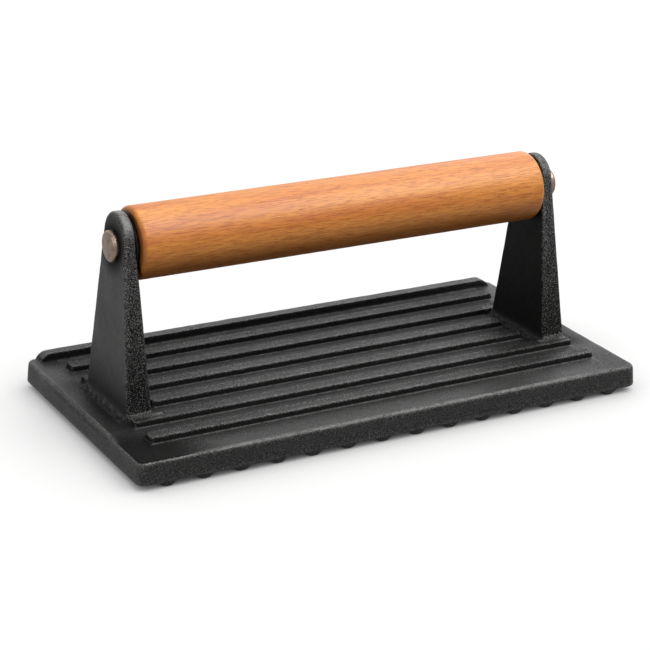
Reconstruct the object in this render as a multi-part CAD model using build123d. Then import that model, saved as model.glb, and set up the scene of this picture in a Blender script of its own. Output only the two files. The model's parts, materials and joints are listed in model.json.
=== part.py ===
from build123d import *
from math import atan, cos, hypot, tan, radians
import os

# A ribbed cast iron press plate with two upright posts and a turning wooden grip between them.
# Millimetres. X runs along the grip, Y across the plate, Z up. Zero is under the middle of the
# plate, on the flat lands of the searing ribs.

# plate
plate_length = 210.0
plate_width = 106.0
plate_thickness = 8.8
plate_corner = 4.0
plate_draft = 5.0
plate_top_round = 1.5
plate_bottom_round = 1.0

# searing ribs under the plate, running across it
sear_count = 14
sear_side_margin = 12.05
sear_height = 2.0
sear_width = 7.0
sear_draft = 36.0
sear_end_inset = 0.7
sear_corner = 3.0
sear_round = 1.4

# shallow ribs on top of the plate, running along it
top_rib_count = 6
top_rib_side_margin = 17.25
top_rib_width = 6.5
top_rib_height = 2.1
top_rib_draft = 15.0
top_rib_end_margin = 11.0
top_rib_corner = 1.4
top_rib_round = 0.6
middle_rib_gap = 3.5

# raised rim along the back edge
rim_height = 3.0
rim_width = 6.3
rim_end_margin = 4.4
rim_end_run = 4.2
rim_end_bulge = 0.9
rim_face_slope = 14.0
rim_round = 1.0

# posts: sizes at the plate's top and at the grip's axis
axis_above_plate = 59.9
post_top_above_axis = 12.4
post_half_width_base = 18.8
post_half_width_axis = 9.6
post_thickness_base = 10.2
post_thickness_axis = 5.3
post_end_margin = 11.0
post_outer_lean = 3.3
post_edge_round = 1.3
post_foot_round = 3.0
post_embed = 3.0
edge_tolerance = 0.01

# flat seats faced into the posts for the caps and the washers
outer_seat_depth = 0.3
inner_seat_depth = 0.3
seat_margin = 0.4

# tie rod, tube, caps and washers, all on the grip's axis
rod_diameter = 5.0
rod_chamfer = 0.4
rod_end_reach = 1.0
rod_end_gap = 0.3
rod_clearance = 0.4
tube_wall = 2.1
barrel_wall = 1.5
barrel_clearance = 0.1
barrel_setback = 0.3
cap_diameter = 11.6
left_cap_height = 2.6
right_cap_height = 4.6
cap_crown = 0.3
cap_edge_rise = 1.1
cap_edge_run = 1.1
cap_edge_bulge = 0.3
cap_crown_bulge = 0.1
washer_diameter = 20.0
washer_thickness = 1.0
washer_clearance = 0.15
washer_gap = 0.3

# grip
grip_diameter = 26.8
grip_end_round = 1.8
running_clearance = 0.07

# sizes worked out from those above
floor_level = sear_height + plate_thickness
axis_level = floor_level + axis_above_plate
post_top = axis_level + post_top_above_axis
post_outer_base = plate_length / 2 - post_end_margin
post_outer_axis = post_outer_base - post_outer_lean
post_inner_base = post_outer_base - post_thickness_base
post_inner_axis = post_outer_axis - post_thickness_axis
seat_outer = post_outer_axis - outer_seat_depth
seat_inner = post_inner_axis + inner_seat_depth
sear_pitch = (plate_length - 2 * sear_side_margin) / (sear_count - 1)
top_rib_pitch = (plate_width - 2 * top_rib_side_margin) / (top_rib_count - 1)
top_rib_length = plate_length - 2 * top_rib_end_margin
middle_rib_length = 2 * (post_inner_base - middle_rib_gap)
rim_half_length = plate_length / 2 - rim_end_margin
tube_inner = rod_diameter + 2 * rod_clearance
tube_outer = tube_inner + 2 * tube_wall
barrel_diameter = rod_diameter + 2 * barrel_wall
grip_bore = tube_outer + 2 * running_clearance
grip_length = 2 * (seat_inner - washer_thickness - washer_gap)


def bulged(start, end, bulge):
    # an arc between two points that swells to the left of the way from start to end
    along = (end[0] - start[0], end[1] - start[1])
    share = bulge / hypot(along[0], along[1])
    middle = ((start[0] + end[0]) / 2 - along[1] * share, (start[1] + end[1]) / 2 + along[0] * share)
    return ThreePointArc(start, middle, end)


def plate_slab():
    # a flat slab with gently drafted walls and softened edges
    outline = Plane.XY.offset(sear_height) * RectangleRounded(plate_length, plate_width, plate_corner)
    slab = extrude(outline, plate_thickness, taper=plate_draft)
    top_edges = slab.faces().sort_by(Axis.Z)[-1].edges()
    slab = fillet(top_edges, plate_top_round)
    bottom_edges = slab.faces().sort_by(Axis.Z)[0].edges()
    return fillet(bottom_edges, plate_bottom_round)


def drafted_bar(length, width, height, draft, rounding, corner):
    # a long low bar that stands on the ground plane, with sloping sides and a softened top
    bar = extrude(RectangleRounded(length, width, corner), height, taper=draft)
    top_edges = bar.faces().sort_by(Axis.Z)[-1].edges()
    return fillet(top_edges, rounding)


def searing_ribs():
    # bars across the underside, hanging from the slab with their flat lands at zero
    length = plate_width - 2 * sear_end_inset
    bar = drafted_bar(length, sear_width, sear_height, sear_draft, sear_round, sear_corner)
    bar = Rot(180, 0, 90) * bar
    first = -(sear_count - 1) * sear_pitch / 2
    return [Pos(first + i * sear_pitch, 0, sear_height) * bar for i in range(sear_count)]


def top_rib(length):
    # one of the ribs along the top
    return drafted_bar(length, top_rib_width, top_rib_height, top_rib_draft, top_rib_round, top_rib_corner)


def top_ribs():
    # the ribs that would run into the posts' feet stop short of them
    long_rib = top_rib(top_rib_length)
    short_rib = top_rib(middle_rib_length)
    first = -(top_rib_count - 1) * top_rib_pitch / 2
    ribs = []
    for i in range(top_rib_count):
        y = first + i * top_rib_pitch
        rib = short_rib if abs(y) + top_rib_width / 2 < post_half_width_base else long_rib
        ribs.append(Pos(0, y, floor_level) * rib)
    return ribs


def back_rim():
    # the rim's section, run along the back edge, then cut to its rounded ends
    top = floor_level + rim_height
    low = sear_height + plate_thickness / 2
    lean = tan(radians(plate_draft))
    back_edge = plate_width / 2
    outer_low = back_edge - (low - sear_height) * lean
    outer_top = back_edge - (top - sear_height) * lean
    inner_low = back_edge - plate_thickness * lean - rim_width
    inner_top = inner_low + rim_height * tan(radians(rim_face_slope))
    section = Polygon((outer_low, low), (outer_top, top), (inner_top, top), (inner_low, floor_level),
                      (inner_low, low), align=None)
    bar = extrude(Plane.YZ * section, rim_half_length, both=True)
    crest = bar.edges().filter_by(Axis.X).filter_by(lambda e: e.center().Z > top - edge_tolerance)
    bar = fillet(crest, rim_round)
    flat = rim_half_length - rim_end_run
    side = Line((-rim_half_length, low), (rim_half_length, low))
    side += Line((rim_half_length, low), (rim_half_length, floor_level))
    side += bulged((rim_half_length, floor_level), (flat, top), -rim_end_bulge)
    side += Line((flat, top), (-flat, top))
    side += bulged((-flat, top), (-rim_half_length, floor_level), -rim_end_bulge)
    side += Line((-rim_half_length, floor_level), (-rim_half_length, low))
    mask = extrude(Plane.XZ * make_face(side), plate_width, both=True)
    return bar & mask


def post():
    # the right-hand post: thickness profile seen from the front, cut to the arched outline
    foot = floor_level - post_embed
    lean_out = post_outer_lean / axis_above_plate
    lean_in = (post_inner_axis - post_inner_base) / axis_above_plate
    above = post_top_above_axis + post_embed
    thickness = Polygon((post_inner_base - post_embed * lean_in, foot),
                        (post_outer_base + post_embed * lean_out, foot),
                        (post_outer_axis - above * lean_out, axis_level + above),
                        (post_inner_axis + above * lean_in, axis_level + above), align=None)
    blank = extrude(Plane.XZ * thickness, 2 * post_half_width_base, both=True)
    # the arch is a circle that both leaning sides run into smoothly
    slope = (post_half_width_base - post_half_width_axis) / axis_above_plate
    level = cos(atan(slope))
    rise = (post_top_above_axis - post_half_width_axis * level) / (1 - slope * level)
    arch_radius = post_top_above_axis - rise
    touch_y = arch_radius * level
    touch_z = axis_level + rise + arch_radius * slope * level
    low_y = post_half_width_base + post_embed * slope
    outline = Line((-low_y, foot), (low_y, foot))
    outline += Line((low_y, foot), (touch_y, touch_z))
    outline += ThreePointArc((touch_y, touch_z), (0, post_top), (-touch_y, touch_z))
    outline += Line((-touch_y, touch_z), (-low_y, foot))
    arch = extrude(Plane.YZ * make_face(outline), plate_length)
    solid = blank & arch
    across = solid.edges().filter_by(Axis.X) + solid.edges().filter_by(Axis.Y)
    rims = [edge for edge in solid.edges() if edge not in across]
    return fillet(rims, post_edge_round)


def along_x(radius, start, end):
    # a round bar on the grip's axis from one station to the other
    return Pos((start + end) / 2, 0, axis_level) * (Rot(0, 90, 0) * Cylinder(radius, abs(end - start)))


def press_casting():
    # slab and posts first, so that the feet can be blended, then the ribs and the rim
    right = post()
    body = plate_slab() + right + mirror(right, about=Plane.YZ)
    feet = body.edges().filter_by(lambda e: abs(e.center().Z - floor_level) < edge_tolerance
                                  and post_inner_base - post_edge_round < abs(e.center().X)
                                  and abs(e.center().X) < post_outer_base + post_edge_round
                                  and abs(e.center().Y) < post_half_width_base + post_edge_round)
    body = fillet(feet, post_foot_round)
    for rib in top_ribs() + searing_ribs():
        body += rib
    body += back_rim()
    # flat seats for the caps and washers, and the holes between them
    hole = barrel_diameter / 2 + barrel_clearance
    outer_seat = cap_diameter / 2 + seat_margin
    inner_seat = washer_diameter / 2 + seat_margin
    reach = post_thickness_axis / 2
    for side in (-1, 1):
        body -= along_x(hole, side * (seat_inner - reach), side * (seat_outer + reach))
        body -= along_x(outer_seat, side * seat_outer, side * (seat_outer + reach))
        body -= along_x(inner_seat, side * (seat_inner - reach), side * seat_inner)
    return body


def wooden_grip():
    # a plain turned cylinder with well rounded ends, bored right through for the tube
    wood = along_x(grip_diameter / 2, -grip_length / 2, grip_length / 2)
    ends = wood.edges().filter_by(GeomType.CIRCLE)
    wood = fillet(ends, grip_end_round)
    return wood - along_x(grip_bore / 2, -grip_length, grip_length)


def spacer_tube():
    # keeps the posts apart when the caps are tightened; the grip turns on it
    tube = along_x(tube_outer / 2, -seat_inner, seat_inner)
    return tube - along_x(tube_inner / 2, -plate_length, plate_length)


def tie_rod():
    # threaded rod through tube, posts and caps, with a small lead at each end
    half = seat_outer + rod_end_reach
    rod = along_x(rod_diameter / 2, -half, half)
    return chamfer(rod.edges().filter_by(GeomType.CIRCLE), rod_chamfer)


def cap_nut(height):
    # the right-hand cap: a barrel through the post and a round head of this height outside it
    barrel_end = seat_inner - seat_outer + barrel_setback
    radius = cap_diameter / 2
    face_radius = radius - cap_edge_run
    shoulder = height - cap_crown
    side = shoulder - cap_edge_rise
    profile = Line((barrel_end, 0), (height, 0))
    profile += bulged((height, 0), (shoulder, face_radius), -cap_crown_bulge)
    profile += bulged((shoulder, face_radius), (side, radius), -cap_edge_bulge)
    profile += Line((side, radius), (0, radius))
    profile += Line((0, radius), (0, barrel_diameter / 2))
    profile += Line((0, barrel_diameter / 2), (barrel_end, barrel_diameter / 2))
    profile += Line((barrel_end, barrel_diameter / 2), (barrel_end, 0))
    turned = revolve(Plane.XY * make_face(profile), Axis.X)
    turned = Pos(seat_outer, 0, axis_level) * turned
    bore_end = seat_outer + rod_end_reach + rod_end_gap
    return turned - along_x(rod_diameter / 2, 0, bore_end)


def washer():
    # the right-hand thin washer that keeps the wood off the iron
    start = seat_inner - washer_thickness
    ring = along_x(washer_diameter / 2, start, seat_inner)
    return ring - along_x(tube_outer / 2 + washer_clearance, 0, plate_length)


def left_of(shape):
    # the same piece on the other side
    return mirror(shape, about=Plane.YZ)


os.makedirs("parts", exist_ok=True)
pieces = {
    "press_casting": press_casting(),
    "wooden_grip": wooden_grip(),
    "spacer_tube": spacer_tube(),
    "tie_rod": tie_rod(),
    "right_cap_nut": cap_nut(right_cap_height),
    "left_cap_nut": left_of(cap_nut(left_cap_height)),
    "right_washer": washer(),
    "left_washer": left_of(washer()),
}
for name, shape in pieces.items():
    export_step(shape, "parts/" + name + ".step")
    box = shape.bounding_box()
    print(name, "solids", len(shape.solids()), "volume", round(shape.volume, 1), "valid", shape.is_valid,
          "min", [round(v, 2) for v in box.min], "max", [round(v, 2) for v in box.max])
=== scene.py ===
# %% [markdown]
# # A cast iron grill press with a wooden grip
#
# The press lies on hot food and keeps it flat. It is one black iron casting, a plate with ribs and
# two posts, and a turned wooden grip hangs between the posts on a rod with two round caps.
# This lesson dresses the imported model: each visible piece gets a finer surface than the solid has,
# and each finish is built from nodes.

# %% Load the frame
import json
from math import ceil, cos, pi, radians, sin, sqrt, tan
import bmesh
import bpy
import numpy as np
from mathutils import Matrix, Vector

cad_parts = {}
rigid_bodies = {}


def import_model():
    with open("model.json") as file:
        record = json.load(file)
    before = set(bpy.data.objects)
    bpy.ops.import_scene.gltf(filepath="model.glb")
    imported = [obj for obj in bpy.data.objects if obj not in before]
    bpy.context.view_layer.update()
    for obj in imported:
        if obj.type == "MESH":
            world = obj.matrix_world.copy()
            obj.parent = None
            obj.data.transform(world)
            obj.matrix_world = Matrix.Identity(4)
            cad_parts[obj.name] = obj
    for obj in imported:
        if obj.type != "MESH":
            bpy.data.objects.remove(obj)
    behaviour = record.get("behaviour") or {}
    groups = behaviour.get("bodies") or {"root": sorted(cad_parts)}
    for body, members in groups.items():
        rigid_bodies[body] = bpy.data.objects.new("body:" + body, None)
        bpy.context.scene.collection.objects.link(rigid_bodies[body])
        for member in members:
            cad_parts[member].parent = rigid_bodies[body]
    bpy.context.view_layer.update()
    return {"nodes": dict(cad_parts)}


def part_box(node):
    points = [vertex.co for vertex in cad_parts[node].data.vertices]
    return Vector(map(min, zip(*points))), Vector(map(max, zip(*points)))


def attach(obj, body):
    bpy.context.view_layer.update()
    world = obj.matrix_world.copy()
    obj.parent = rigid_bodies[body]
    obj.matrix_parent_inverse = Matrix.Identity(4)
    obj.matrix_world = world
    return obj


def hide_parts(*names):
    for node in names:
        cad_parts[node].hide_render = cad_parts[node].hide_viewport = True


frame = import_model()
print("nodes:", sorted(frame["nodes"]))

# %% [markdown]
# ## Sizes
#
# The drawing's sizes are in millimetres, so the lesson keeps them so, and only the last step of
# making a mesh turns them into metres. X runs along the grip, Y across the plate and Z up. Lengths
# are measured from the middle and heights from the ground. The plate has bars underneath, running
# across it, and ribs on top, running along it. A post is given by its half width at the foot and
# at the grip's axis, its head, and where its outer and inner faces stand at both heights. The rod's
# place and thickness are read from the model.

# %% Sizes of the casting
half_length, half_width, corner = 105.0, 52.98, 4.0
plate_bottom, plate_top = 2.0, 10.8
draft = tan(radians(5))
bar_count, bar_pitch, bar_half_width, bar_half_length = 14, 14.3, 3.5, 52.6
rib_count, rib_pitch, rib_half_width, rib_height = 6, 14.3, 3.25, 2.1
long_rib, short_rib = 94.0, 80.3
rim_foot, rim_height, rim_half_length, rim_end_run = 45.93, 3.0, 100.6, 4.2
bar_slope, rib_slope, rim_slope = (1 / tan(radians(angle)) for angle in (36, 15, 14))
foot_half, head_half, head_top = 18.8, 9.6, 12.4
foot_round, edge_round = 3.0, 1.3
outer_foot, outer_head = 94.0, 90.7
inner_foot, inner_head = 83.8, 85.4
seat_outer, seat_inner = 90.4, 85.7
rod_low, rod_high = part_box("tie_rod")
axis_level = round((rod_low.z + rod_high.z) * 500, 2)
rod_radius = round((rod_high.z - rod_low.z) * 500, 2)
print("the grip's axis is at", axis_level, "mm and the rod's radius is", rod_radius, "mm")

# %% [markdown]
# ## From grids of points to a mesh
#
# Every new piece is a function of two parameters, worked out on a whole grid at once. A grid
# becomes quads by joining each point to its neighbours. Several grids can share their borders:
# points that fall together are welded, which also closes seams and poles. Adding faces one by one
# would give the same mesh, but filling the arrays in one go is far quicker.

# %% Grid to mesh
def quads(rows, columns, start, flip=False):
    """Faces of a grid counted row by row from start. Each joins a point, the one in the next row,
    the diagonal one and the one in the next column, or the other way round if flipped."""
    here = np.arange(rows * columns).reshape(rows, columns) + start
    a, b, c, d = here[:-1, :-1], here[1:, :-1], here[1:, 1:], here[:-1, 1:]
    order = (a, d, c, b) if flip else (a, b, c, d)
    return np.stack(order, -1).reshape(-1, 4)


def raw_mesh(name, places, faces):
    """A mesh from places in metres and four corner numbers for each face."""
    mesh = bpy.data.meshes.new(name)
    mesh.vertices.add(len(places))
    mesh.vertices.foreach_set("co", places.astype(np.float32).ravel())
    mesh.loops.add(faces.size)
    mesh.loops.foreach_set("vertex_index", faces.astype(np.int32).ravel())
    mesh.polygons.add(len(faces))
    mesh.polygons.foreach_set("loop_start", np.arange(0, faces.size, 4, dtype=np.int32))
    mesh.update(calc_edges=True)
    return mesh


def weld(mesh):
    """Join points that fall together, drop faces without area, and count what is still open."""
    shape = bmesh.new()
    shape.from_mesh(mesh)
    bmesh.ops.remove_doubles(shape, verts=shape.verts, dist=2e-6)
    bmesh.ops.dissolve_degenerate(shape, edges=shape.edges, dist=1e-7)
    open_edges = sum(1 for edge in shape.edges if not edge.is_manifold)
    volume = shape.calc_volume(signed=True)
    shape.to_mesh(mesh)
    shape.free()
    return open_edges, volume


def skin(name, sheets, sharp=50):
    """One closed piece from sheets of points in mm. A sheet is (points, flip), and edges that bend
    by more than sharp degrees stay sharp."""
    places, faces, count = [], [], 0
    for points, flip in sheets:
        rows, columns = points.shape[:2]
        places.append(points.reshape(-1, 3))
        faces.append(quads(rows, columns, count, flip))
        count += rows * columns
    mesh = raw_mesh(name, np.concatenate(places) / 1000, np.concatenate(faces))
    open_edges, volume = weld(mesh)
    mesh.polygons.foreach_set("use_smooth", np.ones(len(mesh.polygons), dtype=bool))
    mesh.set_sharp_from_angle(angle=radians(sharp))
    mesh.update()
    piece = bpy.data.objects.new(name, mesh)
    bpy.context.scene.collection.objects.link(piece)
    print(name, "faces", len(mesh.polygons), "open edges", open_edges, "volume cm3", round(volume * 1e6, 2))
    return piece


# %% [markdown]
# ## Unevenness
#
# Sand casting and wood turning leave soft lumps. A displacement texture could make them, but a sum
# of waves in random directions needs no modifier, has no seams, and gives the same lumps on every
# run. They only ever take material off, so they never push a piece out of its solid.

# %% Lumps
def lumps(places, wavelength, seed, waves=20, limit=1.5):
    """Sum of sine waves with random directions, wavelengths and phases, divided by the root of
    their number, cut off at the limit and scaled to lie between -1 and 1."""
    random = np.random.default_rng(seed)
    directions = random.normal(size=(waves, 3))
    directions /= np.linalg.norm(directions, axis=1, keepdims=True)
    numbers = 2 * pi / (wavelength * random.uniform(0.7, 1.5, (waves, 1)))
    total = np.sin(places @ (directions * numbers).T + random.uniform(0, 2 * pi, waves)).sum(-1)
    return np.clip(total / sqrt(waves), -limit, limit) / limit


def corners_of(piece):
    """Vertex places in mm and vertex normals, as arrays."""
    count = len(piece.data.vertices)
    places, normals = np.empty(count * 3, np.float32), np.empty(count * 3, np.float32)
    piece.data.vertices.foreach_get("co", places)
    piece.data.vertex_normals.foreach_get("vector", normals)
    return places.reshape(-1, 3).astype(float) * 1000, normals.reshape(-1, 3).astype(float)


def roughen(piece, layers, seed):
    """Move each point inwards along its normal by depth times (1 + lumps) / 2, summed over layers
    of (wavelength, depth) in mm."""
    places, normals = corners_of(piece)
    cut = sum(depth * (1 + lumps(places, wavelength, seed + number)) / 2
              for number, (wavelength, depth) in enumerate(layers))
    moved = (places - normals * cut[:, None]) / 1000
    piece.data.vertices.foreach_set("co", moved.astype(np.float32).ravel())
    piece.data.update()
    print(piece.name, "roughened by up to", round(float(cut.max()), 3), "mm")


along_a_line = lumps(np.linspace(0, 200, 400)[:, None] * np.ones(3), 11.0, seed=11)
print("lumps along a line:", round(float(along_a_line.min()), 2), "to", round(float(along_a_line.max()), 2))

# %% [markdown]
# ## The plate
#
# The plate's top and underside are height maps over its outline, and a band round the edge joins
# them. Bevelled boxes could stand for the ribs, but a height map lets each rib flow into the plate
# as cast iron does. Grid lines crowd where a rib has its edge and spread out between, so the ribs
# stay crisp without millions of faces.

# %% Grid lines of the plate
def beside(edges, offsets):
    """Every edge's place plus every offset, in one row."""
    return np.add.outer(edges, offsets).ravel()


def ruled(marks, widest, end, closest=0.13):
    """Lines from -end to end through the marks and their mirror images. Marks closer together than
    the closest are thinned out, and spaces wider than the widest are divided evenly."""
    lines = np.unique(np.clip(np.concatenate((marks, -marks, [end, 0])), -end, end).round(3))
    lines = np.unique(np.concatenate((lines, -lines)))
    lines = lines[np.concatenate(([True], np.diff(lines) > closest))]
    lines[-1] = end
    spans = [np.linspace(a, b, ceil((b - a) / widest), endpoint=False) for a, b in zip(lines, lines[1:])]
    return np.concatenate(spans + [[end]])


bar_centres = (np.arange(bar_count) - (bar_count - 1) / 2) * bar_pitch
rib_centres = (np.arange(rib_count) - (rib_count - 1) / 2) * rib_pitch
right_bars, back_ribs = bar_centres[bar_centres > 0], rib_centres[rib_centres > 0]
bar_offsets = np.array([-0.25, 0.25, 0.7, 1.15, 1.6, 2.1])
end_offsets = np.array([-1.7, -1.1, -0.6, -0.3, 0.0, 0.35])
rib_offsets = np.array([-0.85, -0.4, -0.1, 0.13, 0.36, 0.6, 1.0])
rim_offsets = np.array([-0.4, -0.1, 0.2, 0.45, 0.7, 1.0, 1.5, 2.2])
long_marks = np.concatenate((beside(right_bars - bar_half_width, bar_offsets),
                             beside(right_bars + bar_half_width, -bar_offsets),
                             beside([long_rib, short_rib], end_offsets),
                             np.arange(96.0, half_length, 0.6)))
cross_marks = np.concatenate((beside(back_ribs - rib_half_width, rib_offsets),
                              beside(back_ribs + rib_half_width, -rib_offsets),
                              rim_foot + rim_offsets,
                              np.arange(49.0, half_width, 0.45)))
long_lines = ruled(long_marks, 2.3, half_length)
cross_lines = ruled(cross_marks, 2.2, half_width)
print("grid lines along and across the plate:", len(long_lines), len(cross_lines))

# %% [markdown]
# A rib is a rounded rectangle that rises with sloping sides. Its height grows with the distance
# inside that outline until it reaches the top, and a soft minimum rounds the edge, as the mould's
# sand does. A soft maximum leaves a small fillet at the foot.

# %% Rising from the plate
def inside(x, y, half_x, half_y, radius):
    """Distance inside a rounded rectangle round zero: positive within, negative outside."""
    past_x, past_y = np.abs(x) - half_x + radius, np.abs(y) - half_y + radius
    outside = np.hypot(np.maximum(past_x, 0), np.maximum(past_y, 0))
    return radius - outside - np.minimum(np.maximum(past_x, past_y), 0)


def soft_min(a, b, width):
    """The smaller of two, rounded by a parabola where they are within width of each other."""
    near = np.clip(0.5 + 0.5 * (b - a) / width, 0, 1)
    return b + (a - b) * near - width * near * (1 - near)


def rise(depth, slope, height, top_round, foot_round):
    """Depth inside an outline times the slope, at least zero and at most the height, with both
    limits softened."""
    return -soft_min(-soft_min(depth * slope, height, top_round), 0.0, foot_round)


# %% Heights of ribs, rim and bars
def rim_crest(x):
    """Height of the back rim along its length: full in the middle, and at its ends a quarter
    ellipse to the power of 1.25, which makes them a little leaner."""
    run = np.clip((rim_half_length - np.abs(x)) / rim_end_run, 0, 1)
    return rim_height * np.sqrt(np.clip(1 - (1 - run) ** 2, 0, 1)) ** 1.25


def top_height(x, y):
    """The plate's top: the highest of flat floor, six ribs, of which the middle two are shorter, and
    the rim's inner face, which ends at its crest."""
    height = np.zeros_like(x)
    for centre in rib_centres:
        reach = short_rib if abs(centre) < rib_pitch else long_rib
        depth = inside(x, y - centre, reach, rib_half_width, radius=1.4)
        height = np.maximum(height, rise(depth, rib_slope, rib_height, top_round=0.55, foot_round=0.45))
    crest = rim_crest(x)
    inner = rise((y - rim_foot) * np.ones_like(x), rim_slope, crest, top_round=0.8, foot_round=0.5)
    return plate_top + np.maximum(height, np.minimum(inner, crest))


def under_height(x, y, stretch=1.6):
    """The plate's underside: flat, with rounded bars across it that reach down to zero. Measuring
    the depth in a stretched y makes the bars' ends steeper than their sides."""
    depth = np.full_like(x, -half_width)
    for centre in bar_centres:
        bar = inside(x - centre, y * stretch, bar_half_width, bar_half_length * stretch, radius=3.0)
        depth = np.maximum(depth, bar)
    return plate_bottom - rise(depth, bar_slope, plate_bottom, top_round=1.1, foot_round=0.25)


spots = np.array([0.0, back_ribs[0], 50.0])
print("top at a groove, a rib and the rim in mm:", top_height(np.zeros(3), spots).round(2))

# %% [markdown]
# The outline has round corners. A square grid is pressed into them by pulling each point of a
# corner square onto the arc through it. The arc is a little squarer than a circle, which leaves the
# worn ridge that a fettled corner has. The same rule, drawn in by an inset, gives every level of
# the band round the edge, so the grids meet point by point.

# %% The plate's outline and the band round it
def in_plan(along, across, inset, squareness=2.35):
    """Place of a grid point when the outline is drawn in by inset. In a corner square a point keeps
    its direction from the arc's centre, and the larger of its two offsets becomes its distance,
    measured as a root of summed powers."""
    def over(value, half):
        return np.maximum(np.abs(value) - (half - corner), 0) * (corner - inset) / corner
    a, b = over(along, half_length), over(across, half_width)
    distance = (a ** squareness + b ** squareness) ** (1 / squareness)
    shrink = np.maximum(a, b) / np.maximum(distance, 1e-9)
    x = np.sign(along) * (np.minimum(np.abs(along), half_length - corner) + a * shrink)
    y = np.sign(across) * (np.minimum(np.abs(across), half_width - corner) + b * shrink)
    return x, y


def edge_profile(along, across, low_round=1.0):
    """Insets and heights of the band's levels at border points: a quarter circle up from the
    underside, a face that leans in with the draft, and a quarter circle onto the top."""
    crest = plate_top + np.where(across > half_width - 0.01, rim_crest(along), 0.0)
    top_round = np.where(crest > plate_top + 0.2, 1.2, 1.5)
    levels = []
    for angle in np.radians([90, 60, 30, 0]):
        levels.append((draft * low_round + low_round * (1 - cos(angle)) + 0 * along,
                       plate_bottom + low_round * (1 - sin(angle)) + 0 * along))
    for share in (0.17, 0.34, 0.5, 0.67, 0.84):
        z = plate_bottom + low_round + share * (crest - top_round - plate_bottom - low_round)
        levels.append((draft * (z - plate_bottom), z))
    for angle in np.radians([0, 20, 40, 60, 75, 90]):
        levels.append((draft * (crest - top_round - plate_bottom) + top_round * (1 - cos(angle)),
                       crest - top_round * (1 - sin(angle))))
    return np.array([inset for inset, _ in levels]), np.array([z for _, z in levels])


# %% [markdown]
# Three sheets make the plate. The band's first and last rows are copied from the borders of the
# underside and the top, walked round in the same order, so that the three weld into one skin.

# %% The plate's three sheets
def border_of(sheet):
    """A sheet's border points: along the front, up the right side, back and down the left side."""
    return np.concatenate((sheet[:, 0], sheet[-1, 1:-1], sheet[::-1, -1], sheet[0, ::-1][1:]))


grid_along, grid_across = np.meshgrid(long_lines, cross_lines, indexing="ij")
insets, _ = edge_profile(grid_along, np.where(grid_across > 0, half_width, 0.0))
x, y = in_plan(grid_along, grid_across, insets[-1])
top_sheet = np.stack((x, y, top_height(x, y)), -1)
x, y = in_plan(grid_along, grid_across, insets[0])
under_sheet = np.stack((x, y, under_height(x, y)), -1)

loop = border_of(np.stack((grid_along, grid_across), -1))
insets, z = edge_profile(loop[:, 0], loop[:, 1])
x, y = in_plan(loop[None, :, 0], loop[None, :, 1], insets)
band_sheet = np.stack((x, y, z), -1)
band_sheet[0], band_sheet[-1] = border_of(under_sheet), border_of(top_sheet)
print("plate sheets:", top_sheet.shape, under_sheet.shape, band_sheet.shape)

# %% [markdown]
# ## The posts
#
# Each post is a section carried along a path. The path is its outline seen from the side: up one
# leaning edge, over the round head and down the other. At each place on the path the section runs
# from the middle of one broad face, round the edge, to the middle of the other. Near the plate
# everything swells out in a quarter circle, the fillet that lets the iron flow and keeps the foot
# from cracking. A bevelled block would need its fillets added one by one.

# %% A post's side outline
post_height, buried = axis_level - plate_top, plate_top - 1.2
post_slope = (foot_half - head_half) / post_height
post_lean = np.arctan(post_slope)
head_round = head_top - (head_top - head_half * cos(post_lean)) / (1 - post_slope * cos(post_lean))
head_centre = axis_level + head_top - head_round
print("a post's head has a radius of", round(float(head_round), 2), "mm")


def swell(above):
    """How far the foot's fillet stands out at a height above the plate: a quarter circle, and
    twice the depth below it, which buries the foot."""
    low = np.clip(above, 0, foot_round)
    return foot_round - np.sqrt(foot_round ** 2 - (foot_round - low) ** 2) + np.clip(-above, 0, 1) * 2


def side_outline():
    """Stations up one leaning edge, over the head and down the other: their y and z, and the height
    on the middle line that the section runs to. The first and last lie inside the plate."""
    turns = np.radians([0, 14, 28, 42, 56, 70, 82])
    foot = np.concatenate(([-0.35], foot_round * (1 - np.cos(turns))))
    flank = np.linspace(foot_round, head_centre + head_round * sin(post_lean) - plate_top, 56)
    z = plate_top + np.concatenate((foot, flank))
    half = foot_half - post_slope * (z - plate_top) + swell(z - plate_top)
    arc = np.linspace(post_lean, pi / 2, 15)[1:]
    middle = np.concatenate((z - half * tan(post_lean), np.full(len(arc), head_centre)))
    z = np.concatenate((z, head_centre + head_round * np.sin(arc)))
    half = np.concatenate((half, head_round * np.cos(arc)))
    y = np.concatenate(([0], -half, half[::-1][1:], [0]))
    z = np.concatenate(([buried], z, z[::-1][1:], [buried]))
    middle = np.concatenate(([buried], middle, middle[::-1][1:], [buried]))
    return y, z, middle


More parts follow.
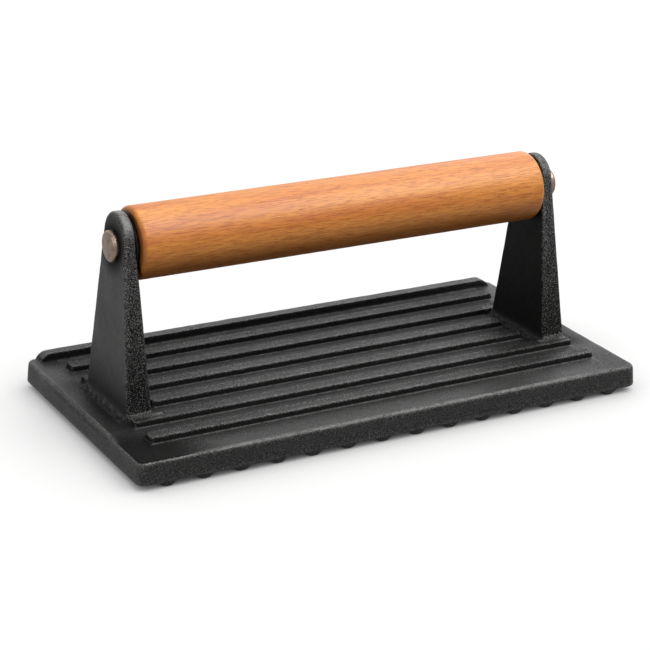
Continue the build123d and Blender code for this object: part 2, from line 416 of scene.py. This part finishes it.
# %% Both posts and the whole casting
def post_sheet(side):
    """Grid of stations by places across the section, on the right for side 1 and the left for -1.
    A place across has an inset from the outline, a lift from edge to face, and a part of the way
    from the middle plane."""
    y, z, middle = side_outline()
    reach = np.hypot(y, z - middle)
    edge = np.minimum(edge_round + swell(z - plate_top), reach)
    places = [(np.zeros_like(z), 0.0, part) for part in (0.0, 0.5)]
    places += [(edge * (1 - cos(turn)), sin(turn), 1.0) for turn in np.radians([0, 18, 36, 54, 72, 90])]
    places += [(edge + share * (reach - edge), 1.0, 1.0)
               for share in (0.08, 0.2, 0.35, 0.5, 0.65, 0.8, 0.92, 1.0)]
    halves = []
    for face in (-1, 1):
        columns = []
        for inset, lift, part in places:
            share = inset / np.maximum(reach, 1e-9)
            point_y, point_z = y * (1 - share), z + (middle - z) * share
            level = (point_z - plate_top) / post_height
            outer = outer_foot + (outer_head - outer_foot) * level
            inner = inner_foot + (inner_head - inner_foot) * level
            stand_out = swell(point_z - plate_top)
            broad = outer + stand_out if face > 0 else inner - stand_out
            outline, centre = broad - face * edge * (1 - lift), (outer + inner) / 2
            point_x = outline if part == 1.0 else centre + (outline - centre) * part
            columns.append(np.stack((side * point_x, point_y, point_z), -1))
        halves.append(columns)
    return np.stack(halves[0][::-1] + halves[1][1:], 1)


casting = skin("casting", [(top_sheet, False), (under_sheet, True), (band_sheet.transpose(1, 0, 2), False),
                           (post_sheet(-1), False), (post_sheet(1), True)])
roughen(casting, [(11.0, 0.10), (3.2, 0.05)], seed=11)
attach(casting, "press")
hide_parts("press_casting")

# %% [markdown]
# ## Turned pieces
#
# The grip, the caps and the washers are turned on a lathe, so each is a profile spun round the
# axis. A profile is a list of stations along the axis with a radius at each. Where it meets the
# axis the points fall together and are welded. Blender's Screw modifier spins a profile too, but
# here the same few lines that made the plate's grids do it.

# %% Turning
def turned(name, along, radius, steps):
    """Spin a profile: each station's circle lies round the axis, at its place along it."""
    turn = np.linspace(0, 2 * pi, steps + 1)
    turn[-1] = 0.0
    x = np.repeat(np.asarray(along, float)[:, None], steps + 1, 1)
    radius = np.asarray(radius, float)[:, None]
    y, z = radius * np.cos(turn), axis_level + radius * np.sin(turn)
    return skin(name, [(np.stack((x, y, z), -1), False)], sharp=55)


def outwards(piece):
    """Turn every face round if the closed shape came out inside out."""
    shape = bmesh.new()
    shape.from_mesh(piece.data)
    if shape.calc_volume(signed=True) < 0:
        bmesh.ops.reverse_faces(shape, faces=shape.faces)
        shape.to_mesh(piece.data)
        print(piece.name, "turned outwards")
    shape.free()


# %% [markdown]
# The grip is a plain cylinder with well rounded ends and a bore for the tube that it turns on.
# The lathe leaves it a little uneven, which the eye notices in the sheen.

# %% The wooden grip
low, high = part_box("wooden_grip")
grip_end, grip_radius = high.x * 1000, (high.z - low.z) * 500
bore_radius, end_round, bore_lead = 5.07, 1.8, 0.5
quarter = np.radians(np.linspace(90, 0, 10))
end_x = grip_end - end_round + end_round * np.sin(quarter)
end_r = grip_radius - end_round + end_round * np.cos(quarter)
face_r = np.linspace(bore_radius + bore_lead, end_r[0], 8)[:-1]
half_x = np.concatenate(([grip_end - bore_lead], np.full(len(face_r), grip_end), end_x))
half_r = np.concatenate(([bore_radius], face_r, end_r))
barrel_x = np.linspace(grip_end - end_round, -grip_end + end_round, 120)[1:-1]
bore_x = np.linspace(-grip_end + bore_lead, grip_end - bore_lead, 12)[1:]
wood_x = np.concatenate((half_x, barrel_x, -half_x[::-1], bore_x))
wood_r = np.concatenate((half_r, np.full(len(barrel_x), grip_radius), half_r[::-1],
                         np.full(len(bore_x), bore_radius)))
grip = turned("grip_wood", wood_x, wood_r, 96)
outwards(grip)
roughen(grip, [(38.0, 0.07), (9.0, 0.025)], seed=31)
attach(grip, "grip")
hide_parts("wooden_grip")

# %% [markdown]
# Each cap has a flat, slightly crowned face with a rounded edge. Its barrel goes through the post
# and takes the rod's thread, so the profile goes on inwards to a narrow bore. The washers are flat
# rings with worn edges.

# %% Caps and washers
barrel_radius, barrel_setback, bore_end = 4.0, 0.3, 1.3
chamfer_x, chamfer_r = 0.15, 0.12


def cap_profile(height, radius=5.8, face=4.7, edge=1.1, crown=0.3):
    """Stations from the bore's floor back along the barrel, then round the head's edge, a quarter
    circle, and over its face, a parabola."""
    turn = np.radians(np.linspace(90, 0, 10))
    face_r = np.linspace(face, 0, 9)
    face_x = height - crown * (face_r / face) ** 2
    edge_x, edge_r = height - crown - edge + edge * np.cos(turn), face + edge * np.sin(turn)
    barrel_end = seat_inner + barrel_setback - seat_outer
    x = np.concatenate(([bore_end, bore_end, barrel_end, barrel_end, 0.0, 0.0, chamfer_x],
                        edge_x, face_x[1:]))
    r = np.concatenate(([0.0, rod_radius, rod_radius, barrel_radius, barrel_radius, radius - chamfer_r,
                         radius], edge_r, face_r[1:]))
    return x, r


def washer_profile(bore=5.15, radius=10.0, thickness=1.0, edge=0.2):
    """A ring's section: out over one face, across the worn edge, back over the other and closed."""
    bevel = edge / 4
    x = [thickness, thickness, thickness - bevel, thickness - edge, edge, bevel, 0.0, 0.0, thickness]
    r = [bore, radius - edge, radius - bevel, radius, radius, radius - bevel, radius - edge, bore, bore]
    return np.array(x), np.array(r)


for side, height, cap_name, washer_name in ((1, 4.6, "right_cap", "right_spacer"),
                                            (-1, 2.6, "left_cap", "left_spacer")):
    along, radius = cap_profile(height)
    cap = turned(cap_name, side * (seat_outer + along), radius, 72)
    outwards(cap)
    roughen(cap, [(5.0, 0.03), (1.8, 0.012)], seed=51 + side)
    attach(cap, "press")
    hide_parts(cap_name + "_nut")
    along, radius = washer_profile()
    ring = turned(washer_name, side * (seat_inner - along), radius, 72)
    outwards(ring)
    roughen(ring, [(6.0, 0.02)], seed=71 + side)
    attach(ring, "press")
    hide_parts(washer_name.replace("spacer", "washer"))

# %% [markdown]
# ## Writing finishes
#
# A material is a sum of small decisions: where it is darker, where it is rougher, how deep the
# grain is. Linking nodes by hand hides them. Plain arithmetic keeps them readable, so a small class
# carries one value through the nodes, and adding or multiplying two such values adds the Math node.

# %% Arithmetic on nodes
class Value:
    """One value on its way through a material; arithmetic on it adds Math nodes."""

    def __init__(self, finish, socket):
        self.finish, self.socket = finish, socket

    def math(self, operation, *others):
        """This value and others as the inputs of a Math node."""
        return self.finish.node("Math", {"operation": operation}, dict(enumerate((self,) + others)))

    def __add__(self, other):
        return self.math("ADD", other)

    def __sub__(self, other):
        return self.math("SUBTRACT", other)

    def __rsub__(self, other):
        return self.finish.node("Math", {"operation": "SUBTRACT"}, {0: other, 1: self})

    def __mul__(self, other):
        return self.math("MULTIPLY", other)

    __radd__, __rmul__ = __add__, __mul__

    def span(self, low, high, out_low=0.0, out_high=1.0):
        """Stretch low..high to out_low..out_high, with soft ends."""
        return self.finish.node("MapRange", {"interpolation_type": "SMOOTHSTEP"},
                                {"Value": self, "From Min": low, "From Max": high,
                                 "To Min": out_low, "To Max": out_high}, "Result")


# %% One place to build a finish
class Finish:
    """A material, or the world's light, under construction."""

    def __init__(self, name, kind=bpy.data.materials):
        self.owner = kind.new(name)
        self.owner.use_nodes = True
        self.tree = self.owner.node_tree
        self.tree.nodes.clear()

    def node(self, kind, settings=None, values=None, out=0):
        """Add a node: settings first, then socket values or links; returns the named output."""
        made = self.tree.nodes.new("ShaderNode" + kind)
        for key, value in (settings or {}).items():
            if key == "stops":
                ramp = made.color_ramp
                while len(ramp.elements) < len(value):
                    ramp.elements.new(1.0)
                for stop, (place, colour) in zip(ramp.elements, value):
                    stop.position, stop.color = place, (*colour, 1.0)
            else:
                setattr(made, key, value)
        for key, value in (values or {}).items():
            if isinstance(value, Value):
                self.tree.links.new(value.socket, made.inputs[key])
            else:
                made.inputs[key].default_value = value
        return Value(self, made.outputs[out])

    def places(self, scale=(1, 1, 1), turn=(0, 0, 0)):
        """Object coordinates in millimetres times scale, turned."""
        own = self.node("TexCoord", out="Object")
        return self.node("Mapping", {"vector_type": "POINT"},
                         {"Vector": own, "Scale": [s * 1000 for s in scale], "Rotation": turn})

    def kept(self, name):
        """A number kept on the mesh's points under this name."""
        return self.node("Attribute", {"attribute_name": name}, None, "Fac")

    def noise(self, where, size, detail=2.0, roughness=0.5, twist=0.0, seed=0.0):
        """Soft noise from 0 to 1 whose lumps are about size millimetres across."""
        return self.node("TexNoise", {"noise_dimensions": "4D"},
                         {"Vector": where, "W": seed, "Scale": 1 / size, "Detail": detail,
                          "Roughness": roughness, "Distortion": twist})

    def cells(self, where, size):
        """Distance to the nearest of scattered points about size millimetres apart."""
        return self.node("TexVoronoi", None, {"Vector": where, "Scale": 1 / size}, "Distance")

    def mix(self, share, low, high, blend="MIX"):
        """A colour between two, by a share from 0 to 1, or the two blended in another way."""
        low = (*low, 1.0) if isinstance(low, tuple) else low
        high = (*high, 1.0) if isinstance(high, tuple) else high
        return self.node("Mix", {"data_type": "RGBA", "blend_type": blend}, {0: share, 6: low, 7: high}, 2)

    def ramp(self, share, *stops):
        """A colour read off a row of stops."""
        return self.node("ValToRGB", {"stops": stops}, {"Fac": share}, "Color")

    def bump(self, height, distance, strength=1.0, below=None):
        """A bump of this height times the distance in millimetres, laid over another."""
        values = {"Height": height, "Distance": distance / 1000, "Strength": strength}
        if below is not None:
            values["Normal"] = below
        return self.node("Bump", None, values, "Normal")

    def close(self, surface, end="OutputMaterial"):
        """End the nodes in this surface or light."""
        output = self.tree.nodes.new("ShaderNode" + end)
        self.tree.links.new(surface.socket, output.inputs["Surface"])
        print(self.owner.name, "is built from", len(self.tree.nodes), "nodes")
        return self.owner


def dress(piece, material):
    """Give a piece this material alone."""
    piece.data.materials.clear()
    piece.data.materials.append(material)


# %% [markdown]
# ## Numbers kept on the casting
#
# The iron doesn't look the same everywhere, and what changes it is where a place lies, how it faces
# and how the surface bends there. A texture can't know that, and painting it by hand would have to
# be done again after each change of shape. So each such number is worked out at every point with
# numpy and kept on the mesh as an attribute, which the finish reads later.

# %% Measuring a surface
def bend_of(piece):
    """Mean bend of the surface at each point, in 1/mm and positive on ridges: the part of each step
    to a neighbour that lies along the normal, over the step's length squared. It is smoothed by
    averaging it with the neighbours' mean."""
    places, normals = corners_of(piece)
    pairs = np.empty(len(piece.data.edges) * 2, np.int32)
    piece.data.edges.foreach_get("vertices", pairs)
    first, second = pairs[0::2], pairs[1::2]

    def summed(at_first, at_second):
        return np.bincount(first, at_first, len(places)) + np.bincount(second, at_second, len(places))

    step = places[first] - places[second]
    share = 1 / np.maximum((step ** 2).sum(1), 1e-3)
    count = np.maximum(summed(np.ones(len(first)), np.ones(len(first))), 1)
    bend = summed((normals[first] * step).sum(1) * share, -(normals[second] * step).sum(1) * share) / count
    return 0.5 * bend + 0.5 * summed(bend[second], bend[first]) / count


def fade(value, full, none):
    """1 where value is at full or beyond, 0 at none or beyond, and a straight line between."""
    return np.clip((none - value) / (none - full), 0, 1)


def mark(piece, name, values):
    """Keep one number per point as an attribute that a finish can read."""
    attribute = piece.data.attributes.new(name, "FLOAT", "POINT")
    attribute.data.foreach_set("value", values.astype(np.float32))
    print(name, "runs from", round(float(values.min()), 3), "to", round(float(values.max()), 3))


# %% Places on the casting
places, normals = corners_of(casting)
x, y, z = places.T
facing_x, facing_y, facing_z = normals.T
out_x, out_y, level = np.abs(x), np.abs(y), z - plate_top
curved = fade(bend_of(casting), 0.16, 0.0)
on_left = x < 0
top_depth, post_reach, foot_reach = 3.2, 22, 5.3
near_top = np.abs(level) < top_depth
on_post = (level > 0.4) & (out_x > inner_foot - foot_round) & (out_y < post_reach)
narrow = fade(np.abs(facing_x), 0.56, 0.86)
steep = fade(np.abs(facing_z), 0.63, 0.88)
on_side = (level < -0.6) & (steep > 0.5)
past_foot_x = np.maximum(np.abs(out_x - (outer_foot + inner_foot) / 2) - foot_reach, 0)
from_foot = np.hypot(past_foot_x, np.maximum(out_y - foot_half, 0))
skirt = fade(from_foot, 3, 15) * near_top
topmost = fade(z, axis_level + 8, axis_level + 1)
print("points on the posts:", int(on_post.sum()), "on the plate's side:", int(on_side.sum()))

# %% [markdown]
# The first number says how coarse the grain is. The skin of a sand casting is grainy, because the
# metal takes the print of the sand. The posts' broad faces were drawn from a smooth pattern, while
# their narrow sides, where the mould halves meet, are the coarsest. Edges hold more grain as well.

# %% How coarse the grain is
plate_grain = np.where(on_side, 0.45, 0.36 - 0.10 * skirt)
post_grain = 0.10 + (0.90 - 0.45 * topmost) * narrow
edge_grain = 0.5 * curved * (level > 0.5)
mark(casting, "grain", np.clip(np.where(on_post, post_grain, plate_grain) + edge_grain, 0, 1))

# %% [markdown]
# The second says how pale a place is, from wear and from painted highlights. Hands, cloths and the
# scraper rub the arch over each post, the post's edges and the ribs' edges, and these also carry a
# painted highlight: more on the left arch than on the right, almost none on the ribs' rear edges,
# which face away from the light, and a painted highlight on the little ledge of the fillet at the
# post's foot. Painted light also lies in each groove, most of it against the wall behind, so the
# distance to the next wall towards the back is needed too.

# %% How rubbed it is, and painted highlights
# wear and painted highlight on the arch; the right one gets less, as the grip keeps the light from it
arch = on_post * narrow * topmost * np.where(on_left, 1.0, 0.45)
# a pale line along the posts' edges, partly wear and partly painted highlight
post_edge = on_post * fade(np.abs(np.abs(facing_x) - 0.72), 0.0, 0.25) * 0.8 * (level > 4)
# painted highlight on the fillet at the post's foot
ledge = on_post * narrow * fade(np.abs(level - 2.4), 0.0, 0.9)
from_ribs = y[:, None] - rib_centres
from_rib = np.take_along_axis(from_ribs, np.abs(from_ribs).argmin(1)[:, None], 1)[:, 0]
ribbed = ~on_post & (out_y < 46) & (out_x < 95) & near_top
# the ribs' rear edges face away from the light, so they get almost no painted highlight
rear_edge = ~on_post & (from_rib > 0) & (level > 0.5) & (out_y < 42)
other_edge = curved * np.where(rear_edge, 0.08, np.where(ribbed, 0.8, 0.5))

no_wall = 99.0
to_walls = np.append(rib_centres - rib_half_width, rim_foot) - y[:, None]
to_wall = np.where(to_walls > -0.05, to_walls, no_wall).min(1)
wall_reach = np.where(np.abs(y + to_wall + rib_half_width) < rib_pitch, short_rib, long_rib)
# painted light on each groove's floor, strongest at the foot of the wall behind
painted_groove_light = fade(to_wall, 0, 5.0) * 0.22 + fade(to_wall, 0, 0.75) * 0.35
painted_groove_light = painted_groove_light * (np.abs(level) < 0.4) * (out_x < wall_reach) * (steep < 0.5)
mark(casting, "ridge", np.maximum.reduce([other_edge, arch, post_edge, ledge * 0.9, painted_groove_light]))

# %% [markdown]
# The third says how dark and matt a place is, from soot and from painted shade: painted shade on the
# ribs' steep walls, round the feet and the caps, on the posts' inner faces, which lie in the grip's
# shadow, and, darker towards the bottom, on the posts' faces; painted shadow and reflection of the
# posts between the ribs and in the front corners, most on the left; and a little painted shade on the
# plate's front edge. The painted light in the grooves lifts it again.

# %% Soot and painted shade
on_floor = (np.abs(level) < 0.6) & (steep < 0.3)
within_edges = ~on_post & (out_x < 104.0) & (y > -50) & (y < 50.8)
# painted shade on the ribs' steep walls
rib_wall = within_edges * fade(np.abs(facing_z), 0.52, 0.72) * fade(level, 0.45, 0.15) * (level < 2.95)
# painted shadow of the grip on the posts' inner faces
inner_face = on_post * fade(-facing_x * np.sign(x), 0.9, 0.5)
# the narrow faces get darker towards the bottom
narrow_face = on_post * narrow * fade(level, 0, 60) * (1 - ledge)
broad_face = on_post * (narrow < 0.2)
# painted shade round the caps
round_cap = broad_face * fade(np.hypot(y, z - axis_level), 6.5, 12.5)
# painted shade over the ribbed field, deeper towards the front and near the posts, whose reflection it
# stands for
rib_field = ~on_post * fade(out_x, 92, 101) * fade(out_y, 42, 50) * near_top
field_depth = 0.26 + 0.12 * fade(y, 45, 0) + 0.2 * fade(from_foot, 0, 42)
# painted shadow and reflection of the posts in the front corners, stronger on the left
front_corner = fade(out_x, 90, 68) * fade(-y, 36, 22) * on_floor * np.where(on_left, 0.9, 0.3)
# a little painted shade on the plate's front edge
front_edge = on_side * np.clip(-facing_y, 0, 1)
# soot and painted shade, including painted shade round the feet; the strongest share wins
shade_and_soot_mask = np.maximum.reduce([rib_wall * 0.9, ~on_post * skirt * 0.55, inner_face * 0.64, narrow_face * 0.8,
                          round_cap * 0.7, broad_face * fade(level, 0, 26) * 0.5, rib_field * field_depth,
                          front_corner, front_edge * 0.22])
# the painted groove light lifts the painted shade and soot there
mark(casting, "hollow", np.clip(shade_and_soot_mask * (1 - np.clip(painted_groove_light * 1.5, 0, 0.8)), 0, 1))

# %% [markdown]
# ## Black cast iron
#
# Baked-on oil makes the iron black with a dull sheen, and soot and painted shade take that sheen away.
# One surface could only be darkened there and would still shine, so the finish is two surfaces,
# oiled iron and a matt black for soot and painted shade, mixed at each point. Fine noise as large as
# grains of sand lifts glints on the high grains, as a smoother finish and as a painted highlight in
# their colour, and leaves soot between them. Cloudy noise varies the oil, and worn noise breaks up the
# worn and painted pale places.

# %% Cast iron finish
iron = Finish("seasoned_iron")
where = iron.places()
grain, ridge, hollow = iron.kept("grain"), iron.kept("ridge"), iron.kept("hollow")
sand = iron.noise(where, 0.41, detail=2.0, roughness=0.6)
lumpy = iron.noise(where, 2.4, detail=2.0, roughness=0.5, seed=2.0)
pits = iron.cells(where, 0.9)
cloud = iron.noise(where, 15.0, detail=4.0, roughness=0.55, seed=3.0)
worn = iron.noise(where, 1.6, detail=4.0, roughness=0.7, seed=7.0)
# the glints are partly painted: the high grains get a pale colour as well as less roughness
glint = sand.span(0.52, 0.64) * grain
worn_and_highlit = ridge * worn.span(0.34, 0.60, 0.3, 1.0)
black = iron.ramp(cloud, (0.30, (0.0040, 0.0040, 0.0039)), (0.52, (0.0075, 0.0074, 0.0072)),
                  (0.75, (0.0125, 0.0123, 0.0119)))
# a pale grey for wear and painted highlights, and a matt black for soot and painted shade
worn_and_highlight_grey, soot_and_shade_black = (0.180, 0.177, 0.172), (0.0035, 0.0034, 0.0032, 1)
colour = iron.mix((glint * 0.8 + worn_and_highlit * 0.95).span(0, 1), black, worn_and_highlight_grey)
rough = cloud.span(0.3, 0.7, 0.42, 0.52) + worn.span(0.4, 0.7, 0.0, 0.06) - glint * 0.16 - worn_and_highlit * 0.14
relief = iron.bump(sand * (grain * 0.92 + 0.08), 0.32)
relief = iron.bump(pits.span(0.0, 0.55) * (grain * 0.9 + 0.1), 0.14, 0.7, relief)
relief = iron.bump(lumpy, 0.22, 0.5, relief)
oiled = iron.node("BsdfPrincipled", None, {"Base Color": colour, "Roughness": rough, "Normal": relief,
                                           "IOR": 1.5})
soot_and_shade_surface = iron.node("BsdfPrincipled", None, {"Base Color": soot_and_shade_black, "Roughness": 0.75, "Normal": relief,
                                           "IOR": 1.18})
between_grains = (1 - sand.span(0.38, 0.52)) * grain * (0.95 - ridge * 0.4)
# share of the matt black: painted shade and soot, and soot between the grains
soot_and_shade_share = (hollow * (1.15 - glint * 0.6) + between_grains).span(0.0, 1.0)
dress(casting, iron.close(iron.node("MixShader", None, {0: soot_and_shade_share, 1: oiled, 2: soot_and_shade_surface})))

# %% [markdown]
# ## Oiled wood
#
# The grip is cut along the grain, so fine fibres and short dark pores run its whole length, and
# broad bands of redder and paler wood cross it slowly. A photograph of wood would need unwrapping
# and show a seam. Here all of it is one pattern in space, stretched along the axis, so the ends and
# the sides agree. Oil darkens the open grain at the ends, and the flat end faces, which lie in the
# shade between the grip and the posts, get a painted shade, almost black.

# %% Wood finish
wood = Finish("oiled_wood")
stretched = wood.places(scale=(0.05, 1, 1))
fibres = wood.noise(wood.places(scale=(0.06, 1, 1)), 0.36, detail=3.0, roughness=0.62)
streaks = wood.noise(stretched, 0.95, detail=4.0, roughness=0.6, twist=0.2, seed=2.0)
bands = wood.noise(stretched, 5.5, detail=2.5, roughness=0.5, twist=0.5, seed=8.0)
pores = wood.noise(wood.places(scale=(0.10, 1, 1)), 0.34, detail=2.0, roughness=0.5, seed=5.0)
warm = wood.ramp(bands, (0.28, (0.65, 0.200, 0.034)), (0.50, (0.775, 0.292, 0.052)),
                 (0.72, (0.855, 0.360, 0.074)))
shade = wood.ramp(fibres, (0.36, (0.60, 0.44, 0.32)), (0.50, (0.90, 0.84, 0.78)), (0.66, (1.0, 1.0, 1.0)))
red_streak, dark_pore = (0.47, 0.118, 0.022), (0.27, 0.062, 0.012)
oiled_end, painted_gap_shade = (0.34, 0.080, 0.014), (0.035, 0.012, 0.005)
dark = pores.span(0.58, 0.70)
along_axis = wood.node("SeparateXYZ", None, {"Vector": wood.places()}, "X").math("ABSOLUTE")
colour = wood.mix(1.0, warm, shade, "MULTIPLY")
colour = wood.mix(streaks.span(0.50, 0.66) * 0.55, colour, red_streak)
colour = wood.mix(dark * 0.6, colour, dark_pore)
colour = wood.mix(along_axis.span(83.2, 84.3) * 0.25, colour, oiled_end)
# painted shade, almost black, on the flat end face in the gap between grip and post
colour = wood.mix(along_axis.span(84.25, 84.39) * 0.8, colour, painted_gap_shade)
relief = wood.bump(fibres, 0.040, 0.7)
relief = wood.bump(1 - dark, 0.05, 0.6, relief)
dress(grip, wood.close(wood.node("BsdfPrincipled", None, {
    "Base Color": colour, "Roughness": 0.40 + fibres * 0.14 + dark * 0.15, "Normal": relief, "IOR": 1.5,
    "Coat Weight": 0.13, "Coat Roughness": 0.42})))

# %% [markdown]
# ## Steels
#
# The caps are satin steel that heat has browned a little. The washers were blackened, and the tube
# and the rod inside are plain drawn steel, which nobody sees until the press is taken apart. They
# differ only in colour, roughness and depth of scratches, so one function makes all three.

# %% Steel finishes
def steel(name, light, dark, rough_low, rough_high, grain):
    """A mottled metal with fine scratches at random."""
    metal = Finish(name)
    mottle = metal.noise(metal.places(), 2.5, detail=5.0, roughness=0.6)
    scratch = metal.noise(metal.places(scale=(1, 0.15, 1), turn=(0.5, 0, 0)), 0.12, detail=2.0, seed=4.0)
    colour = metal.mix(mottle.span(0.35, 0.7), dark, light)
    rough = mottle.span(0.3, 0.7, rough_low, rough_high) + scratch * 0.08
    relief = metal.bump(scratch, grain, 0.5)
    relief = metal.bump(mottle, grain * 2, 0.5, relief)
    return metal.close(metal.node("BsdfPrincipled", None, {
        "Base Color": colour, "Roughness": rough, "Metallic": 1.0, "Normal": relief}))


satin = steel("browned_steel", (0.36, 0.275, 0.212), (0.20, 0.150, 0.115), 0.30, 0.42, 0.012)
blackened = steel("blackened_steel", (0.022, 0.022, 0.022), (0.008, 0.008, 0.008), 0.55, 0.70, 0.02)
plain = steel("drawn_steel", (0.55, 0.55, 0.54), (0.38, 0.38, 0.38), 0.28, 0.40, 0.01)
for piece in bpy.context.scene.objects:
    if piece.name.endswith("_cap"):
        dress(piece, satin)
    elif piece.name.endswith("_spacer"):
        dress(piece, blackened)
for node in ("spacer_tube", "tie_rod"):
    for slot in frame["nodes"][node].material_slots:
        slot.material = plain

# %% [markdown]
# ## Studio
#
# The press stands in a white studio. Bright lamps alone could bleach the floor, but they would
# bleach the iron too. So the floor glows for the camera and in mirrored light only: it is white
# there and lights nothing. Near the plate the glow fades with the share of open sky, which leaves
# the soft contact shadow. Floor, lamps and camera are measured in metres.

# %% Floor
floor_half = 4.0
floor_mesh = bpy.data.meshes.new("floor")
floor_mesh.from_pydata([(-floor_half, -floor_half, 0), (floor_half, -floor_half, 0),
                        (floor_half, floor_half, 0), (-floor_half, floor_half, 0)], [], [(0, 1, 2, 3)])
floor = bpy.data.objects.new("floor", floor_mesh)
bpy.context.scene.collection.objects.link(floor)
paper = Finish("pale_floor")
matt = paper.node("BsdfDiffuse", None, {"Color": (0.16, 0.155, 0.15, 1)})
seen = paper.node("BsdfDiffuse", None, {"Color": (0.165, 0.163, 0.160, 1)})
open_share = paper.node("AmbientOcclusion", {"samples": 12}, {"Distance": 0.05}, "AO")
far = paper.node("SeparateXYZ", None, {"Vector": paper.node("TexCoord", out="Object")}, "Y").span(0.0, 0.9)
white = paper.mix(far, (0.845, 0.845, 0.845), (0.97, 0.97, 0.97))
glow = paper.node("Emission", None, {"Color": paper.mix(open_share, (0.0, 0.0, 0.0), white)})
glowing = paper.node("AddShader", None, {0: seen, 1: glow})
looked_at = (paper.node("LightPath", None, None, "Is Camera Ray")
             + paper.node("LightPath", None, None, "Is Glossy Ray") * 0.62)
dress(floor, paper.close(paper.node("MixShader", None, {0: looked_at, 1: matt, 2: glowing})))

# %% [markdown]
# The strongest lamp is large and stands high at the front right, where the grip throws its light
# towards the camera as a broad sheen. Weaker ones above, behind and at both sides fill in. The
# world is white for the camera, a little darker in mirrored light, and almost black as a light.

# %% Lamps and world
def softbox(name, place, aim, width, height, power):
    """A rectangular lamp at a place, turned to face a point."""
    light = bpy.data.lights.new(name, "AREA")
    light.shape, light.size, light.size_y, light.energy = "RECTANGLE", width, height, power
    lamp = bpy.data.objects.new(name, light)
    direction = Vector(aim) - Vector(place)
    lamp.matrix_world = Matrix.Translation(place) @ direction.to_track_quat("-Z", "Y").to_matrix().to_4x4()
    lamp.visible_camera = False
    bpy.context.scene.collection.objects.link(lamp)
    print(name, power, "W at", round(direction.length, 2), "m")


press_middle = (0, 0, 0.03)
softbox("lamp_above", (0.55, 0.3, 1.2), press_middle, 1.2, 1.1, 8)
softbox("lamp_front", (0.5, -0.72, 1.3), press_middle, 1.3, 0.9, 24)
softbox("lamp_left", (-1.4, -0.25, 0.75), press_middle, 0.5, 0.8, 5)
softbox("lamp_behind", (0.4, 1.9, 0.75), (0, 0, 0.05), 2.6, 1.3, 3.8)
softbox("lamp_right", (1.6, 1.2, 0.8), press_middle, 1.3, 0.9, 6)

air = Finish("studio_air", bpy.data.worlds)
brightness = (air.node("LightPath", None, None, "Is Camera Ray")
              + air.node("LightPath", None, None, "Is Glossy Ray") * 0.80 + 0.02)
backdrop = air.node("Background", None, {"Color": (1, 1, 1, 1), "Strength": brightness})
bpy.context.scene.world = air.close(backdrop, "OutputWorld")
bpy.context.scene.view_settings.view_transform = "Standard"

# %% [markdown]
# ## Camera
#
# The camera stands at the front left, a little above, and is slightly rolled. Its place and lens
# come from fitting a pinhole camera to the edges that the photograph shows, which needs no guess
# about the lens. The focal length came out in the picture's pixels and is turned into millimetres
# of a usual sensor.

# %% Camera
sensor_width, picture_pixels, focal_pixels = 36.0, 650, 2084.39
camera_place = Vector((-0.365768, -0.639999, 0.311612))
right = Vector((0.875157, -0.483150, 0.025804))
forward = Vector((0.458773, 0.811695, -0.361495))
camera_data = bpy.data.cameras.new("camera")
camera_data.sensor_width = sensor_width
camera_data.lens = focal_pixels / picture_pixels * sensor_width
camera_data.clip_start, camera_data.clip_end = 0.01, 50.0
camera = bpy.data.objects.new("camera", camera_data)
facing = Matrix((right, right.cross(forward), -forward)).transposed().to_4x4()
camera.matrix_world = Matrix.Translation(camera_place) @ facing
bpy.context.scene.collection.objects.link(camera)
bpy.context.scene.camera = camera
print("lens", round(camera_data.lens, 1), "mm at", round(camera_place.length, 2), "m")
